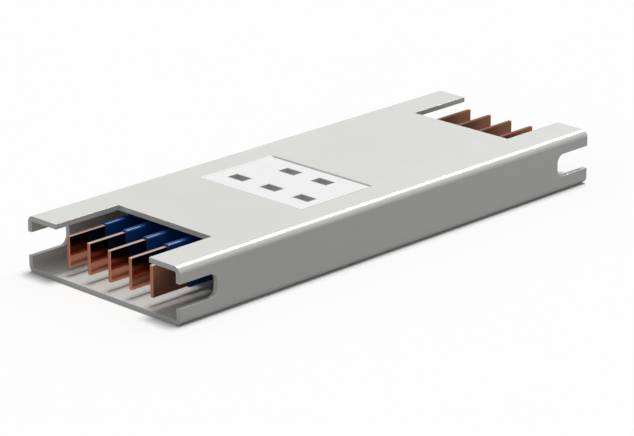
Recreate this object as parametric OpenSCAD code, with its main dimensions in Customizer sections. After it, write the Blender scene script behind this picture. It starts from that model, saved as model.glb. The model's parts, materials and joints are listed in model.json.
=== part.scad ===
// Busway section: a flat, closed sheet-metal housing that carries five copper
// bars on edge, with joint windows at both ends and one plug-in outlet on top.
// Millimetres, +Z up. The origin is on the underside, at the middle of the
// length (X) and of the width (Y).

/* [Housing] */
// Length of the section
housing_length = 436.7; // [360:0.1:900]
// Width over the side walls
housing_width = 160; // [150:1:220]
// Height over the top and bottom
housing_height = 43.7; // [40:0.1:60]
// Thickness of the housing wall
wall_t = 4; // [3.6:0.1:5]
// Outer radius of the four long bends
bend_r = 5.5; // [5.2:0.1:9]

/* [End windows] */
// Length of the window cut from each end of the top
window_length = 60; // [40:1:80]
// Width of the flange left beside each window
flange_width = 30.9; // [20:0.1:40]

/* [Side slots] */
// Length of the open-ended slot in each side wall
slot_length = 35.6; // [20:0.1:50]
// Height of the slot
slot_height = 18; // [15:0.5:24]
// Radius of the slot's two inner corners
slot_corner_r = 6.6; // [3:0.1:7]
// Height of the slot's middle over the middle of the side wall
slot_lift = 0.3; // [0:0.1:2]

/* [Busbars] */
// Thickness of a bar
bar_thickness = 3; // [2:0.5:5]
// Radius of a bar's long edges
bar_edge_r = 0.4; // [0.1:0.1:0.9]
// Distance between the middles of two bars
bar_pitch = 21.9; // [16:0.1:23]
// Clear height under the bars
bar_lift = 6.5; // [4:0.1:8]
// Clear height over the bars; the bars fill what is left between the two
bar_roof_gap = 5.1; // [4:0.1:8]
// Set-back of the bars from the -X end of the housing
bar_setback_left = 6.7; // [0:0.1:12]
// Set-back of the bars from the +X end of the housing
bar_setback_right = 0; // [0:0.1:12]

/* [Insulation sleeves] */
// Thickness of the sleeve round a bar
sleeve_t = 1.2; // [0.4:0.1:1.4]
// Bare length of a bar at its -X end
bare_left = 34.3; // [20:0.1:50]
// Bare length of a bar at its +X end
bare_right = 46; // [20:0.1:60]

/* [Bar supports] */
// Thickness of a support along the section
support_t = 12; // [6:1:20]
// Distance from a housing end to the middle of the support next to it
support_inset = 95; // [88:1:110]
// Distance from the outlet plate to the middle support
support_from_outlet = 20; // [12:1:40]
// Clearance of a support to the walls, the roof and the sleeves
support_fit = 0.3; // [0.1:0.05:0.6]

/* [Outlet] */
// Place of the outlet's middle along the section
outlet_x = -35; // [-60:0.5:30]
// Size of the outlet along the section
outlet_length = 74.5; // [66:0.5:84]
// Size of the outlet across the section
outlet_width = 107; // [95:1:120]
// Depth of the outlet's face under the top of the housing
outlet_recess = 1.2; // [0.5:0.1:1.6]
// Thickness of the outlet plate
plate_t = 1.7; // [1:0.1:1.8]
// Width of the slope from the plate's face up to each of its lips
lip_slope = 2.4; // [1:0.1:3]
// Width of the flat top of a lip, which stands flush with the housing
lip_land = 0.4; // [0.2:0.1:1]
// Width of the ledge that carries the plate
ledge_width = 3; // [2:0.5:5]
// Clearance round the plate and the shutter block
outlet_fit = 0.2; // [0.1:0.05:0.4]

/* [Contact slots] */
// Size of a contact slot along the section
contact_length = 10.3; // [5:0.1:12]
// Size of a contact slot across the section
contact_width = 16.6; // [10:0.1:20]
// Distance between the two rows of slots
contact_rows = 36.5; // [25:0.5:40]
// Shift of both rows from the plate's middle towards +X
contact_shift = 3; // [0:0.1:4]
// Distance between two slots of one row
contact_pitch = 34; // [26:0.5:34]
// Thickness of the floor that closes a slot
shutter_floor_t = 1.2; // [0.8:0.1:1.6]
// Gap from the shutter block down to the sleeves
shutter_gap = 0.4; // [0.2:0.1:0.8]
// Wall of the collar that lines a slot
collar_t = 0.6; // [0.4:0.1:1]
// Clearance between a collar and the plate
collar_fit = 0.1; // [0.05:0.05:0.2]

/* [Hidden] */

$fn = 48;
bar_count = 5;
// How far a cut runs past the face that it opens
over = 1;

inner_width = housing_width - 2 * wall_t;
inner_height = housing_height - 2 * wall_t;
roof_z = housing_height - wall_t;
slot_mid_z = housing_height / 2 + slot_lift;
left_end = -housing_length / 2;
right_end = housing_length / 2;

bar_x0 = left_end + bar_setback_left;
bar_x1 = right_end - bar_setback_right;
bar_z0 = wall_t + bar_lift;
bar_z1 = roof_z - bar_roof_gap;
bar_height = bar_z1 - bar_z0;
bar_mid_z = (bar_z0 + bar_z1) / 2;
sleeve_x0 = bar_x0 + bare_left;
sleeve_x1 = bar_x1 - bare_right;

plate_z1 = housing_height - outlet_recess;
plate_z0 = plate_z1 - plate_t;
block_z0 = bar_z1 + sleeve_t + shutter_gap;
block_length = outlet_length - 2 * ledge_width - 2 * outlet_fit;
block_width = outlet_width - 2 * ledge_width - 2 * outlet_fit;

support_x = [
    left_end + support_inset,
    outlet_x + outlet_length / 2 + support_from_outlet,
    right_end - support_inset
];

// Middle of bar i, counted from the +Y side
function bar_y(i) = ((bar_count + 1) / 2 - i) * bar_pitch;

// Rectangle about the origin with round corners
module rounded_rect(width, height, r) {
    square([width - 2 * r, height], center = true);
    square([width, height - 2 * r], center = true);
    for (sx = [-1, 1], sy = [-1, 1])
        translate([sx * (width / 2 - r), sy * (height / 2 - r)])
            circle(r = r);
}

// A YZ profile drawn about the middle height mid_z, extruded from x0 to x1
module along_x(x0, x1, mid_z = housing_height / 2) {
    translate([x0, 0, mid_z])
        rotate([90, 0, 90])
            linear_extrude(height = x1 - x0)
                children();
}

// Outline of a sleeved bar, with a clearance all round
module sleeved_profile(clearance) {
    grow = sleeve_t + clearance;
    rounded_rect(bar_thickness + 2 * grow, bar_height + 2 * grow, bar_edge_r + grow);
}

// A block from its two opposite corners
module block(low, high) {
    translate(low)
        cube(high - low);
}

// Opening cut from one end of the top, between the two flanges
module end_window(side) {
    half = housing_width / 2 - flange_width;
    end_x = side * (right_end + over);
    inner_x = side * (right_end - window_length);
    block([min(end_x, inner_x), -half, roof_z - over],
          [max(end_x, inner_x), half, housing_height + over]);
}

// Open-ended slot through both side walls at one end
module side_slots(side) {
    reach = slot_length + over;
    translate([side * (right_end + over - reach / 2), housing_width / 2 + over, slot_mid_z])
        rotate([90, 0, 0])
            linear_extrude(height = housing_width + 2 * over) {
                translate([side * slot_corner_r / 2, 0])
                    square([reach - slot_corner_r, slot_height], center = true);
                square([reach, slot_height - 2 * slot_corner_r], center = true);
                for (sy = [-1, 1])
                    translate([side * (slot_corner_r - reach / 2), sy * (slot_height / 2 - slot_corner_r)])
                        circle(r = slot_corner_r);
            }
}

// Rebated opening in the top: the plate's own size above its ledge
module outlet_opening() {
    translate([outlet_x, 0, plate_z0])
        block([-outlet_length / 2, -outlet_width / 2, 0],
              [outlet_length / 2, outlet_width / 2, housing_height - plate_z0 + over]);
    translate([outlet_x, 0, roof_z - over])
        block([ledge_width - outlet_length / 2, ledge_width - outlet_width / 2, 0],
              [outlet_length / 2 - ledge_width, outlet_width / 2 - ledge_width, wall_t + 2 * over]);
}

// One block for each contact slot, smaller than the slot by inset all round:
// a row of three, then a row of two between them
module contact_slots(z0, z1, inset = 0) {
    places = [
        [-contact_rows / 2, -contact_pitch], [-contact_rows / 2, 0], [-contact_rows / 2, contact_pitch],
        [contact_rows / 2, -contact_pitch / 2], [contact_rows / 2, contact_pitch / 2]
    ];
    for (p = places)
        translate([outlet_x + contact_shift + p[0], p[1], 0])
            block([inset - contact_length / 2, inset - contact_width / 2, z0],
                  [contact_length / 2 - inset, contact_width / 2 - inset, z1]);
}

module housing() {
    color([0.86, 0.87, 0.85])
    difference() {
        along_x(left_end, right_end)
            rounded_rect(housing_width, housing_height, bend_r);
        along_x(left_end - over, right_end + over)
            rounded_rect(inner_width, inner_height, bend_r - wall_t);
        for (side = [-1, 1]) {
            end_window(side);
            side_slots(side);
        }
        outlet_opening();
    }
}

// Bare copper bar i
module busbar(i) {
    color([0.72, 0.44, 0.32])
    translate([0, bar_y(i), 0])
        along_x(bar_x0, bar_x1, bar_mid_z)
            rounded_rect(bar_thickness, bar_height, bar_edge_r);
}

// Sleeve round bar i, which leaves both ends bare
module insulation_sleeve(i) {
    color([0.03, 0.14, 0.38])
    translate([0, bar_y(i), 0])
    difference() {
        along_x(sleeve_x0, sleeve_x1, bar_mid_z)
            sleeved_profile(0);
        along_x(sleeve_x0 - over, sleeve_x1 + over, bar_mid_z)
            rounded_rect(bar_thickness, bar_height, bar_edge_r);
    }
}

// Insulating support across the housing; the sleeved bars stand in its windows
module bar_support(x) {
    height = inner_height - support_fit;
    color([0.75, 0.74, 0.7])
    difference() {
        translate([0, 0, -support_fit / 2])
            along_x(x - support_t / 2, x + support_t / 2)
                rounded_rect(inner_width - 2 * support_fit, height, bend_r);
        for (i = [1 : bar_count])
            translate([x, bar_y(i), 0])
                along_x(-support_t / 2 - over, support_t / 2 + over, bar_mid_z + support_fit)
                    sleeved_profile(support_fit);
    }
}

// Plate whose face is sunk between two lips, which slope up to its two ends across
// the section; its profile runs along X
module outlet_plate() {
    half = outlet_width / 2 - outlet_fit;
    profile = [
        [-half, plate_z0], [half, plate_z0],
        [half, housing_height], [half - lip_land, housing_height],
        [half - lip_land - lip_slope, plate_z1], [lip_land + lip_slope - half, plate_z1],
        [lip_land - half, housing_height], [-half, housing_height]
    ];
    color([0.95, 0.95, 0.95])
    difference() {
        along_x(outlet_x - outlet_length / 2 + outlet_fit, outlet_x + outlet_length / 2 - outlet_fit, 0)
            polygon(profile);
        contact_slots(plate_z0 - over, plate_z1 + over);
    }
}

// Block under the plate: a collar lines each contact slot, and a pocket closes it below
module shutter_block() {
    color([0.35, 0.35, 0.36])
    difference() {
        union() {
            translate([outlet_x, 0, 0])
                block([-block_length / 2, -block_width / 2, block_z0],
                      [block_length / 2, block_width / 2, plate_z0]);
            contact_slots(block_z0, plate_z1, collar_fit);
        }
        contact_slots(block_z0 + shutter_floor_t, plate_z1 + over, collar_fit + collar_t);
    }
}

housing();
busbar(1);  // busbar_1
busbar(2);  // busbar_2
busbar(3);  // busbar_3
busbar(4);  // busbar_4
busbar(5);  // busbar_5
insulation_sleeve(1);  // insulation_sleeve_1
insulation_sleeve(2);  // insulation_sleeve_2
insulation_sleeve(3);  // insulation_sleeve_3
insulation_sleeve(4);  // insulation_sleeve_4
insulation_sleeve(5);  // insulation_sleeve_5
bar_support(support_x[0]);  // bar_support_1
bar_support(support_x[1]);  // bar_support_2
bar_support(support_x[2]);  // bar_support_3
outlet_plate();
shutter_block();
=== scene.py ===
# Looks of a busway section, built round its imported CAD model
import json
import math

import bmesh
import bpy
import numpy as np
from mathutils import Matrix, Vector

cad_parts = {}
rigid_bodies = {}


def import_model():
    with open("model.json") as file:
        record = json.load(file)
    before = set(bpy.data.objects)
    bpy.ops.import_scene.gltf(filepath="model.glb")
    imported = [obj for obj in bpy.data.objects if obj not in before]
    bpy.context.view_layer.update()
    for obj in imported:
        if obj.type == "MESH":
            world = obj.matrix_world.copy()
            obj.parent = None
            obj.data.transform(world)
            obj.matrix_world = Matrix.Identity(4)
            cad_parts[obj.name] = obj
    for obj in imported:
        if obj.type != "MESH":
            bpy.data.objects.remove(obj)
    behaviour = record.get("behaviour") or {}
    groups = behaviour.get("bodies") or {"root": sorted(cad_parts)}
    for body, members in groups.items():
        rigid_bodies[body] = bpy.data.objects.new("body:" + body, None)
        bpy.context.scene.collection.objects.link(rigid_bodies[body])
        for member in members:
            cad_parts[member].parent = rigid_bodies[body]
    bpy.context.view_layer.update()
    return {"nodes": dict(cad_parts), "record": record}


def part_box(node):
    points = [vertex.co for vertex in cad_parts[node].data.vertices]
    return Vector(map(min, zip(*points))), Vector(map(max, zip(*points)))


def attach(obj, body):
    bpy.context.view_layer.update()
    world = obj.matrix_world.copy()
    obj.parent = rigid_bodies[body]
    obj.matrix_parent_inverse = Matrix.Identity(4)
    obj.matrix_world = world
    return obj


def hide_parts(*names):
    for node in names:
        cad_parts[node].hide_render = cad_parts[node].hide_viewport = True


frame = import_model()
slotOf = {part["node"]: part["material_slot"] for part in frame["record"]["subparts"]}
print("stage: frame loaded,", len(frame["nodes"]), "nodes")


# Materials

def newMaterial(name):
    # a material with nothing but a Principled shader on its output, its node tree and that shader
    mat = bpy.data.materials.new(name)
    mat.use_nodes = True
    tree = mat.node_tree
    tree.nodes.clear()
    out = tree.nodes.new("ShaderNodeOutputMaterial")
    shader = tree.nodes.new("ShaderNodeBsdfPrincipled")
    tree.links.new(shader.outputs["BSDF"], out.inputs["Surface"])
    return mat, tree, shader


def objectNoise(tree, scale, detail=2.0, stretch=(1.0, 1.0, 1.0)):
    # noise on Object coordinates; a stretch below 1 draws it out along that axis
    coords = tree.nodes.new("ShaderNodeTexCoord")
    mapping = tree.nodes.new("ShaderNodeMapping")
    mapping.inputs["Scale"].default_value = stretch
    noise = tree.nodes.new("ShaderNodeTexNoise")
    noise.inputs["Scale"].default_value = scale
    noise.inputs["Detail"].default_value = detail
    tree.links.new(coords.outputs["Object"], mapping.inputs["Vector"])
    tree.links.new(mapping.outputs["Vector"], noise.inputs["Vector"])
    return noise.outputs["Fac"]


def faceValue(tree, name):
    # reads one of the values that a piece keeps for each of its faces
    node = tree.nodes.new("ShaderNodeAttribute")
    node.attribute_name = name
    return node.outputs["Fac"]


def remap(tree, source, low, high, start=0.35, end=0.65):
    # takes start..end of the source to low..high; most of a noise lies between the default start and end
    node = tree.nodes.new("ShaderNodeMapRange")
    node.inputs["From Min"].default_value = start
    node.inputs["From Max"].default_value = end
    node.inputs["To Min"].default_value = low
    node.inputs["To Max"].default_value = high
    tree.links.new(source, node.inputs["Value"])
    return node.outputs["Result"]


def twoTone(tree, source, first, second, start=0.35, end=0.65):
    # a colour that goes from first to second as the source goes from start to end
    ramp = tree.nodes.new("ShaderNodeValToRGB")
    for stop, place, colour in zip(ramp.color_ramp.elements, (start, end), (first, second)):
        stop.position = place
        stop.color = (*colour, 1.0)
    tree.links.new(source, ramp.inputs["Fac"])
    return ramp.outputs["Color"]


def blend(tree, factor, first, second):
    # mixes two colours, or links to colours, by a factor
    mix = tree.nodes.new("ShaderNodeMix")
    mix.data_type = "RGBA"
    firstSocket, secondSocket = mix.inputs[6], mix.inputs[7]  # its A and B for colours
    tree.links.new(factor, mix.inputs[0])
    for socket, colour in ((firstSocket, first), (secondSocket, second)):
        if isinstance(colour, tuple):
            socket.default_value = (*colour, 1.0)
        else:
            tree.links.new(colour, socket)
    return mix.outputs[2]  # its result for colours


def addBump(tree, shader, height, strength, distance):
    # a small relief: a height of 0 to 1 times the distance, eased by the strength
    bump = tree.nodes.new("ShaderNodeBump")
    bump.inputs["Strength"].default_value = strength
    bump.inputs["Distance"].default_value = distance
    tree.links.new(height, bump.inputs["Height"])
    tree.links.new(bump.outputs["Normal"], shader.inputs["Normal"])


housingPaint = {
    "light": (0.69, 0.70, 0.67),
    "dark": (0.665, 0.675, 0.645),
    "cloudScale": 9.0,
    "roughness": (0.225, 0.262),
    "glossScale": 60.0,
    "glossDetail": 3.0,
    "peelScale": 900.0,
    "peelStrength": 0.08,
    "peelDepth": 0.00002,
}


def makeHousingPaint(values):
    # satin paint: a slight cloud in its colour, uneven gloss and fine orange peel
    mat, tree, shader = newMaterial("housing_paint")
    cloud = objectNoise(tree, values["cloudScale"])
    tree.links.new(twoTone(tree, cloud, values["dark"], values["light"]), shader.inputs["Base Color"])
    gloss = objectNoise(tree, values["glossScale"], values["glossDetail"])
    tree.links.new(remap(tree, gloss, *values["roughness"]), shader.inputs["Roughness"])
    peel = objectNoise(tree, values["peelScale"])
    addBump(tree, shader, peel, values["peelStrength"], values["peelDepth"])
    return mat


# roughness is that of clean copper; a face's "matt" value is added to it
barCopper = {
    "bright": (0.61, 0.243, 0.154),
    "brightDark": (0.54, 0.213, 0.135),
    # painted shade: a darker copper standing in for the dark reflections on the bar ends, the right stretch
    # and the outer flanks
    "dull": (0.148, 0.059, 0.021),
    "paintedShadeDark": (0.112, 0.044, 0.0155),
    # painted highlight: a pale colour standing in for the shine on the bar tops and feet
    "pale": (0.76, 0.575, 0.50),
    "edgeTint": (0.75, 0.70, 0.70, 1.0),
    "toneScale": 60.0,
    "toneDetail": 3.0,
    "toneStretch": (0.3, 1.0, 1.0),
    "roughness": (0.07, 0.09),
    "lineScale": 1300.0,
    "lineStretch": (0.02, 1.0, 1.0),
    "lineStrength": 0.2,
    "lineDepth": 0.000002,
}
# the face values: painted shade, painted highlight and matt
shadeHighlightMattNames = ("dull", "pale", "matt")


def makeBarCopper(values):
    # rolled copper with fine lines along it; face values say how much painted shade each place takes, a
    # darker copper standing in for dark reflections, how much painted highlight, a pale colour standing in
    # for shine, and how matt each place is
    mat, tree, shader = newMaterial("bar_copper")
    dull, pale, matt = (faceValue(tree, name) for name in shadeHighlightMattNames)
    tone = objectNoise(tree, values["toneScale"], values["toneDetail"], values["toneStretch"])
    bright = twoTone(tree, tone, values["brightDark"], values["bright"])
    # painted shade: the darker copper mixed in by each face's painted-shade value
    paintedShadeTone = twoTone(tree, tone, values["paintedShadeDark"], values["dull"])
    face = blend(tree, dull, bright, paintedShadeTone)
    # painted highlight: the pale colour mixed in by each face's painted-highlight value
    tree.links.new(blend(tree, pale, face, values["pale"]), shader.inputs["Base Color"])
    lines = objectNoise(tree, values["lineScale"], stretch=values["lineStretch"])
    rough = tree.nodes.new("ShaderNodeMath")
    rough.operation = "ADD"
    tree.links.new(remap(tree, lines, *values["roughness"]), rough.inputs[0])
    tree.links.new(matt, rough.inputs[1])
    tree.links.new(rough.outputs[0], shader.inputs["Roughness"])
    addBump(tree, shader, lines, values["lineStrength"], values["lineDepth"])
    shader.inputs["Metallic"].default_value = 1.0
    shader.inputs["Specular Tint"].default_value = values["edgeTint"]
    return mat


sleeveBlue = {
    "light": (0.003, 0.055, 0.24),
    "dark": (0.002, 0.04, 0.18),
    "toneScale": 30.0,
    "toneStretch": (0.4, 1.0, 1.0),
    "roughness": (0.30, 0.38),
    "shine": 0.25,
    "rippleScale": 300.0,
    "rippleStretch": (0.3, 1.0, 1.0),
    "rippleStrength": 0.12,
    "rippleDepth": 0.00003,
}


def makeSleeveBlue(values):
    # shrunk-on sleeve: smooth, with faint ripples drawn out along it
    mat, tree, shader = newMaterial("sleeve_blue")
    tone = objectNoise(tree, values["toneScale"], stretch=values["toneStretch"])
    tree.links.new(twoTone(tree, tone, values["dark"], values["light"]), shader.inputs["Base Color"])
    ripple = objectNoise(tree, values["rippleScale"], stretch=values["rippleStretch"])
    tree.links.new(remap(tree, ripple, *values["roughness"]), shader.inputs["Roughness"])
    addBump(tree, shader, ripple, values["rippleStrength"], values["rippleDepth"])
    shader.inputs["Specular IOR Level"].default_value = values["shine"]
    return mat


mouldings = {
    "support_plastic": {
        "light": (0.60, 0.58, 0.52), "dark": (0.56, 0.54, 0.48), "cloudScale": 22.0,
        "roughness": (0.5, 0.6), "grainScale": 1500.0, "grainStrength": 0.2, "grainDepth": 0.00002,
    },
    "outlet_white": {
        "light": (0.895, 0.895, 0.90), "dark": (0.875, 0.875, 0.88), "cloudScale": 22.0,
        "roughness": (0.42, 0.52), "grainScale": 1600.0, "grainStrength": 0.2, "grainDepth": 0.00001,
    },
    "shutter_grey": {
        "light": (0.57, 0.57, 0.56), "dark": (0.53, 0.53, 0.52), "cloudScale": 22.0,
        "roughness": (0.45, 0.55), "grainScale": 1500.0, "grainStrength": 0.2, "grainDepth": 0.00002,
    },
}


def makeMoulding(name, values):
    # moulded plastic: a slight cloud in its colour and a fine grain
    mat, tree, shader = newMaterial(name)
    cloud = objectNoise(tree, values["cloudScale"])
    tree.links.new(twoTone(tree, cloud, values["dark"], values["light"]), shader.inputs["Base Color"])
    grain = objectNoise(tree, values["grainScale"])
    tree.links.new(remap(tree, grain, *values["roughness"]), shader.inputs["Roughness"])
    addBump(tree, shader, grain, values["grainStrength"], values["grainDepth"])
    return mat


materials = {name: makeMoulding(name, values) for name, values in mouldings.items()}
materials["housing_paint"] = makeHousingPaint(housingPaint)
materials["bar_copper"] = makeBarCopper(barCopper)
materials["sleeve_blue"] = makeSleeveBlue(sleeveBlue)
print("stage: materials made")


# Pieces

def dress(piece, node):
    # gives a new piece its material and its body, and hides the CAD node that it stands for
    slot = slotOf[node]
    piece.data.materials.clear()
    piece.data.materials.append(materials[slot])
    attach(piece, "root")
    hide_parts(node)


def newPiece(name, corners, faces):
    # a smooth-shaded mesh object from an array of corners and a list of faces
    mesh = bpy.data.meshes.new(name)
    mesh.from_pydata(np.asarray(corners, float).tolist(), [], faces)
    mesh.shade_smooth()
    piece = bpy.data.objects.new(name, mesh)
    bpy.context.scene.collection.objects.link(piece)
    return piece


def faceArray(mesh, what, width=1, kind=float):
    # one value of every face as an array, with a row per face where the value has several parts
    values = np.empty(len(mesh.polygons) * width, kind)
    mesh.polygons.foreach_get(what, values)
    return values.reshape(-1, width) if width > 1 else values


def acrossX(low, high):
    # a box's width and height across X, and its middle there
    return (high.y - low.y, high.z - low.z), ((low.y + high.y) / 2, (low.z + high.z) / 2)


def easedStations(start, end, ease, steps, between=()):
    # places along X and how far the profile is drawn in there: at each end both follow a quarter circle
    # of radius ease, and at the places between nothing is drawn in
    turn = np.linspace(0, math.pi / 2, steps)
    along = ease * (1 - np.cos(turn))
    inset = ease * (1 - np.sin(turn))
    return (np.concatenate([start + along, between, (end - along)[::-1]]),
            np.concatenate([inset, np.zeros(len(between)), inset[::-1]]))


def sweptRings(stations, insets, size, radius, steps, middle):
    # a rectangle with round corners carried along X, one ring of corners per station: a quarter circle
    # about each corner's middle, counter-clockwise; the inset moves each side in and takes off the radius
    quarter = np.repeat(np.arange(4), steps)
    angle = np.tile(np.linspace(0, math.pi / 2, steps), 4) + quarter * math.pi / 2
    toSide = np.array([1, -1, -1, 1])[quarter]
    toTop = np.array([1, 1, -1, -1])[quarter]
    inset = np.reshape(insets, (-1, 1))
    bend = radius - inset
    y = toSide * ((size[0] - 2 * inset) / 2 - bend) + bend * np.cos(angle)
    z = toTop * ((size[1] - 2 * inset) / 2 - bend) + bend * np.sin(angle)
    x = np.broadcast_to(np.reshape(stations, (-1, 1)), y.shape)
    return np.stack([x, middle[0] + y, middle[1] + z], axis=2)


def ringFaces(ringCount, ringSize):
    # quads between each ring and the next: two neighbours of one ring and the same two of the next
    corner = np.arange(ringSize)
    after = (corner + 1) % ringSize
    low = np.arange(ringCount - 1)[:, None] * ringSize
    high = low + ringSize
    return np.stack([low + corner, low + after, high + after, high + corner], axis=2).reshape(-1, 4)


# steps that a face's normal, and its distance from the origin in metres, are rounded to; faces that
# round alike are one flat
flatSteps = {
    "normalSteps": 500,
    "metreSteps": 20000,
}


def flatNormals(mesh, values):
    # shading normals: at each corner the mean of its faces' normals, weighted by the square of
    # the whole flat area that each face is part of, so that flats stay flat and bends stay round
    normal = faceArray(mesh, "normal", 3)
    distance = (normal * faceArray(mesh, "center", 3)).sum(axis=1)
    plane = np.column_stack([normal * values["normalSteps"], distance * values["metreSteps"]])
    flat = np.unique(np.round(plane), axis=0, return_inverse=True)[1].ravel()
    weight = np.bincount(flat, faceArray(mesh, "area"))[flat] ** 2
    corner = np.empty(len(mesh.loops), int)
    mesh.loops.foreach_get("vertex_index", corner)
    face = np.repeat(np.arange(len(mesh.polygons)), faceArray(mesh, "loop_total", kind=int))
    total = np.zeros((len(mesh.vertices), 3))
    np.add.at(total, corner, (normal * weight[:, None])[face])
    total /= np.maximum(np.linalg.norm(total, axis=1), np.finfo(float).tiny)[:, None]
    mesh.normals_split_custom_set_from_vertices(total.tolist())


# sizes in metres, and each kind of face as (painted shade, painted highlight, matt): painted shade is a
# darker copper standing in for dark reflections, painted highlight a pale colour standing in for shine; a
# flank begins at this share of the width from the middle, and the right stretch at the second split
barShape = {
    "edgeRadius": 0.0004,
    "edgeSteps": 5,
    "endEase": 0.00025,
    "endSteps": 4,
    "splits": (-0.05, 0.05),
    "flankFrom": 0.45,
    # bare copper takes no painted light; the outer flanks, ends, right stretch and right tops take painted
    # shade for their dark reflections, and the tops and feet take painted highlight for their shine
    "bare": (0.0, 0.0, 0.0),
    "outerFlank": (0.45, 0.06, 0.3),
    "ends": (0.69, 0.06, 0.28),
    "top": (0.0, 0.95, 0.05),
    "foot": (0.0, 0.5, 0.0),
    "right": (0.9, 0.04, 0.40),
    "topRight": (0.7, 0.09, 0.05),
    "outerTopMatt": 0.32,
}


def barShadeHighlightMatt(mesh, low, high, outward, values):
    # a row of (painted shade, painted highlight, matt) for each face, by where the face's middle lies;
    # outward is 1 or -1 on an outer bar, whose flank on that side faces the housing's wall, and 0 on the
    # bars between
    x, y, z = faceArray(mesh, "center", 3).T
    side = (y - (low.y + high.y) / 2) / (high.y - low.y)
    cap = np.arange(len(x)) >= len(x) - 2  # the caps come last
    top = (z > high.z - values["edgeRadius"]) & ~cap
    foot = (z < low.z + values["edgeRadius"]) & ~cap
    right = x > values["splits"][1]
    shadeHighlightMatt = np.full((len(x), 3), values["bare"])
    # painted shade on the outer flanks, ends and right stretch, and painted highlight on the tops and feet
    shadeHighlightMatt[side * outward > values["flankFrom"]] = values["outerFlank"]
    shadeHighlightMatt[cap] = values["ends"]
    shadeHighlightMatt[top] = values["top"]
    shadeHighlightMatt[foot] = values["foot"]
    shadeHighlightMatt[right] = values["right"]
    shadeHighlightMatt[right & top] = values["topRight"]
    if outward:
        shadeHighlightMatt[top, 2] = values["outerTopMatt"]
    return shadeHighlightMatt


def makeBar(node, outward, values):
    # the bar's rounded profile swept along X, with eased ends and two flat caps
    low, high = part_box(node)
    size, middle = acrossX(low, high)
    stations, insets = easedStations(low.x, high.x, values["endEase"], values["endSteps"], values["splits"])
    rings = sweptRings(stations, insets, size, values["edgeRadius"], values["edgeSteps"], middle)
    count, around = rings.shape[:2]
    corners = list(range(count * around))
    caps = [corners[:around][::-1], corners[-around:]]
    bar = newPiece(node + "_surface", rings.reshape(-1, 3), ringFaces(count, around).tolist() + caps)
    # stores each face's painted shade, painted highlight and matt as face values
    for name, share in zip(shadeHighlightMattNames, barShadeHighlightMatt(bar.data, low, high, outward, values).T):
        layer = bar.data.attributes.new(name, "FLOAT", "FACE")
        layer.data.foreach_set("value", np.ascontiguousarray(share))
    flatNormals(bar.data, flatSteps)
    dress(bar, node)


sleeveShape = {
    "edgeRadius": 0.0016,
    "edgeSteps": 7,
    "rimEase": 0.0004,
    "rimSteps": 5,
}


def makeSleeve(node, bar, values):
    # outside: the sleeve's profile swept along X with eased rims; inside: the bar's profile swept back,
    # so that the last ring meets the first
    low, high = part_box(node)
    size, middle = acrossX(low, high)
    bore = acrossX(*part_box(bar))[0]
    stations, insets = easedStations(low.x, high.x, values["rimEase"], values["rimSteps"])
    outside = sweptRings(stations, insets, size, values["edgeRadius"], values["edgeSteps"], middle)
    inside = sweptRings([high.x, low.x], [0, 0], bore, barShape["edgeRadius"], values["edgeSteps"], middle)
    rings = np.concatenate([outside, inside])
    count, around = rings.shape[:2]
    faces = ringFaces(count + 1, around) % (count * around)
    sleeve = newPiece(node + "_surface", rings.reshape(-1, 3), faces.tolist())
    dress(sleeve, node)


# busbar_1 is the one at +Y
bars = sorted(name for name in frame["nodes"] if name.startswith("busbar_"))
outwardOf = {bars[0]: 1, bars[-1]: -1}
for bar in bars:
    makeBar(bar, outwardOf.get(bar, 0), barShape)
    makeSleeve(bar.replace("busbar", "insulation_sleeve"), bar, sleeveShape)
print("stage: bars and sleeves made")


# for the pieces that take the CAD's own faces: widths in metres, an edge is sharp from this angle in
# degrees, and a profile of 0.5 makes it round
skinShape = {
    "edgeWidths": {
        "housing": 0.0002,
        "bar_support_1": 0.0004,
        "bar_support_2": 0.0004,
        "bar_support_3": 0.0004,
        "outlet_plate": 0.00025,
        "shutter_block": 0.00015,
    },
    "sharpFrom": 25.0,
    "edgeSteps": 2,
    "edgeProfile": 0.5,
    "mergeWithin": 0.000002,
}


def makeSkin(node, values):
    # the node's own faces, merged into one closed surface, with every sharp edge rounded to the node's width
    source = frame["nodes"][node]
    mesh = source.data.copy()
    mesh.name = node + "_skin"
    mesh.transform(source.matrix_world)
    work = bmesh.new()
    work.from_mesh(mesh)
    bmesh.ops.remove_doubles(work, verts=work.verts, dist=values["mergeWithin"])
    sharp = [edge for edge in work.edges if edge.calc_face_angle(0) > math.radians(values["sharpFrom"])]
    bmesh.ops.bevel(work, geom=sharp, offset=values["edgeWidths"][node], offset_type="OFFSET",
                    segments=values["edgeSteps"], profile=values["edgeProfile"],
                    affect="EDGES", clamp_overlap=True)
    work.to_mesh(mesh)
    work.free()
    mesh.shade_smooth()
    flatNormals(mesh, flatSteps)
    skin = bpy.data.objects.new(node + "_skin", mesh)
    bpy.context.scene.collection.objects.link(skin)
    dress(skin, node)


for node in skinShape["edgeWidths"]:
    makeSkin(node, skinShape)
print("stage: housing, supports and outlet made")


# Floor, light and camera

# angles in degrees, places and sizes in metres; "Seen" is what the camera and mirrors see, and "Lit" is
# what lights the section
studio = {
    "floorSize": 8.0,
    "floorSeen": (1.0, 1.0, 1.0),
    "floorLit": (0.275, 0.275, 0.275),
    "floorRoughness": 1.0,
    "floorShine": 0.0,
    "skySeen": 1.0,
    "skyLit": 0.40,
    "keyLevel": 2.12,
    "keyLean": 9.0,
    "keySoftness": 18.0,
    "cardPower": 1100.0,
    "cardPlace": (5.0, 1.5, 5.4),
    "cardSize": (3.0, 4.0),
    "cardPieces": ("housing_skin", "insulation_sleeve"),
}


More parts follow.
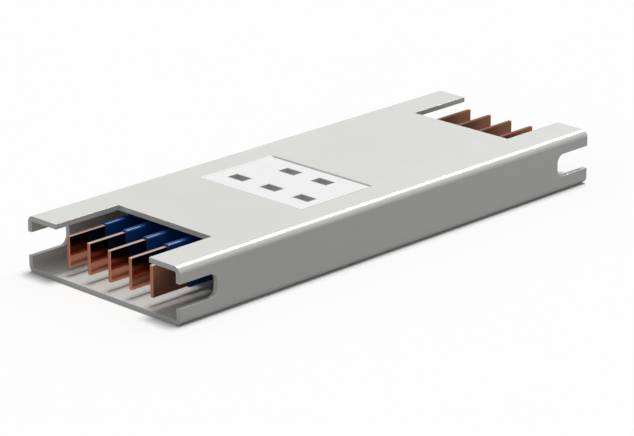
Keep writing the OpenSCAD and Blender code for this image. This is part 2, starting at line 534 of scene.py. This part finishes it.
def seenDirectly(tree):
    # 1 on a ray from the camera, off a shiny surface or through a clear one, else 0
    path = tree.nodes.new("ShaderNodeLightPath")
    first = tree.nodes.new("ShaderNodeMath")
    second = tree.nodes.new("ShaderNodeMath")
    first.operation = second.operation = "MAXIMUM"
    tree.links.new(path.outputs["Is Camera Ray"], first.inputs[0])
    tree.links.new(path.outputs["Is Glossy Ray"], first.inputs[1])
    tree.links.new(first.outputs[0], second.inputs[0])
    tree.links.new(path.outputs["Is Transmission Ray"], second.inputs[1])
    return second.outputs[0]


def makeFloor(values):
    # one flat square under the section
    half = values["floorSize"] / 2
    corners = [(-half, -half, 0), (half, -half, 0), (half, half, 0), (-half, half, 0)]
    floor = newPiece("floor", corners, [(0, 1, 2, 3)])
    mat, tree, shader = newMaterial("floor_paper")
    colour = blend(tree, seenDirectly(tree), values["floorLit"], values["floorSeen"])
    tree.links.new(colour, shader.inputs["Base Color"])
    shader.inputs["Roughness"].default_value = values["floorRoughness"]
    shader.inputs["Specular IOR Level"].default_value = values["floorShine"]
    floor.data.materials.append(mat)


def makeSky(values):
    # even fill light, seen as plain white
    world = bpy.data.worlds.new("studio")
    bpy.context.scene.world = world
    world.use_nodes = True
    tree = world.node_tree
    tree.nodes.clear()
    out = tree.nodes.new("ShaderNodeOutputWorld")
    sky = tree.nodes.new("ShaderNodeBackground")
    level = remap(tree, seenDirectly(tree), values["skyLit"], values["skySeen"], start=0.0, end=1.0)
    tree.links.new(level, sky.inputs["Strength"])
    tree.links.new(sky.outputs["Background"], out.inputs["Surface"])


def makeKey(values):
    # soft lamp over the section, leaning along it
    lamp = bpy.data.lights.new("key", "SUN")
    lamp.energy = values["keyLevel"]
    lamp.angle = math.radians(values["keySoftness"])
    key = bpy.data.objects.new("key", lamp)
    key.rotation_euler = (0, math.radians(values["keyLean"]), 0)
    bpy.context.scene.collection.objects.link(key)


def makeCard(values):
    # bright card at the side, facing the section, which shows in the shine of the named pieces only
    lamp = bpy.data.lights.new("card", "AREA")
    lamp.shape = "RECTANGLE"
    lamp.size, lamp.size_y = values["cardSize"]
    lamp.energy = values["cardPower"]
    card = bpy.data.objects.new("card", lamp)
    place = Vector(values["cardPlace"])
    card.matrix_world = Matrix.Translation(place) @ place.to_track_quat("Z", "Y").to_matrix().to_4x4()
    card.visible_diffuse = False
    card.visible_camera = False
    shown = bpy.data.collections.new("card_pieces")
    for piece in bpy.data.objects:
        if piece.name.startswith(values["cardPieces"]) and piece.name not in frame["nodes"]:
            shown.objects.link(piece)
    card.light_linking.receiver_collection = shown
    bpy.context.scene.collection.objects.link(card)


# angles in degrees, distance and aim in metres, lens and sensor in millimetres
cameraView = {
    "azimuth": 45.492,
    "elevation": 19.104,
    "roll": -0.122,
    "distance": 2.19626,
    "aim": (-0.04865, -0.04525, 0.02920),
    "lens": 170.46,
    "sensor": 36.0,
}


def makeCamera(values):
    # stands off the aim towards -X and -Y, turned by azimuth from -Y and raised by elevation
    azimuth = math.radians(values["azimuth"])
    elevation = math.radians(values["elevation"])
    back = Vector((-math.sin(azimuth) * math.cos(elevation),
                   -math.cos(azimuth) * math.cos(elevation),
                   math.sin(elevation)))
    lens = bpy.data.cameras.new("camera")
    lens.lens = values["lens"]
    lens.sensor_width = values["sensor"]
    camera = bpy.data.objects.new("camera", lens)
    bpy.context.scene.collection.objects.link(camera)
    place = Matrix.Translation(Vector(values["aim"]) + back * values["distance"])
    turn = back.to_track_quat("Z", "Y").to_matrix().to_4x4()
    camera.matrix_world = place @ turn @ Matrix.Rotation(math.radians(values["roll"]), 4, "Z")
    bpy.context.scene.camera = camera


makeFloor(studio)
makeSky(studio)
makeKey(studio)
makeCard(studio)
makeCamera(cameraView)
bpy.context.scene.view_settings.view_transform = "Standard"
print("stage: floor, light and camera made")
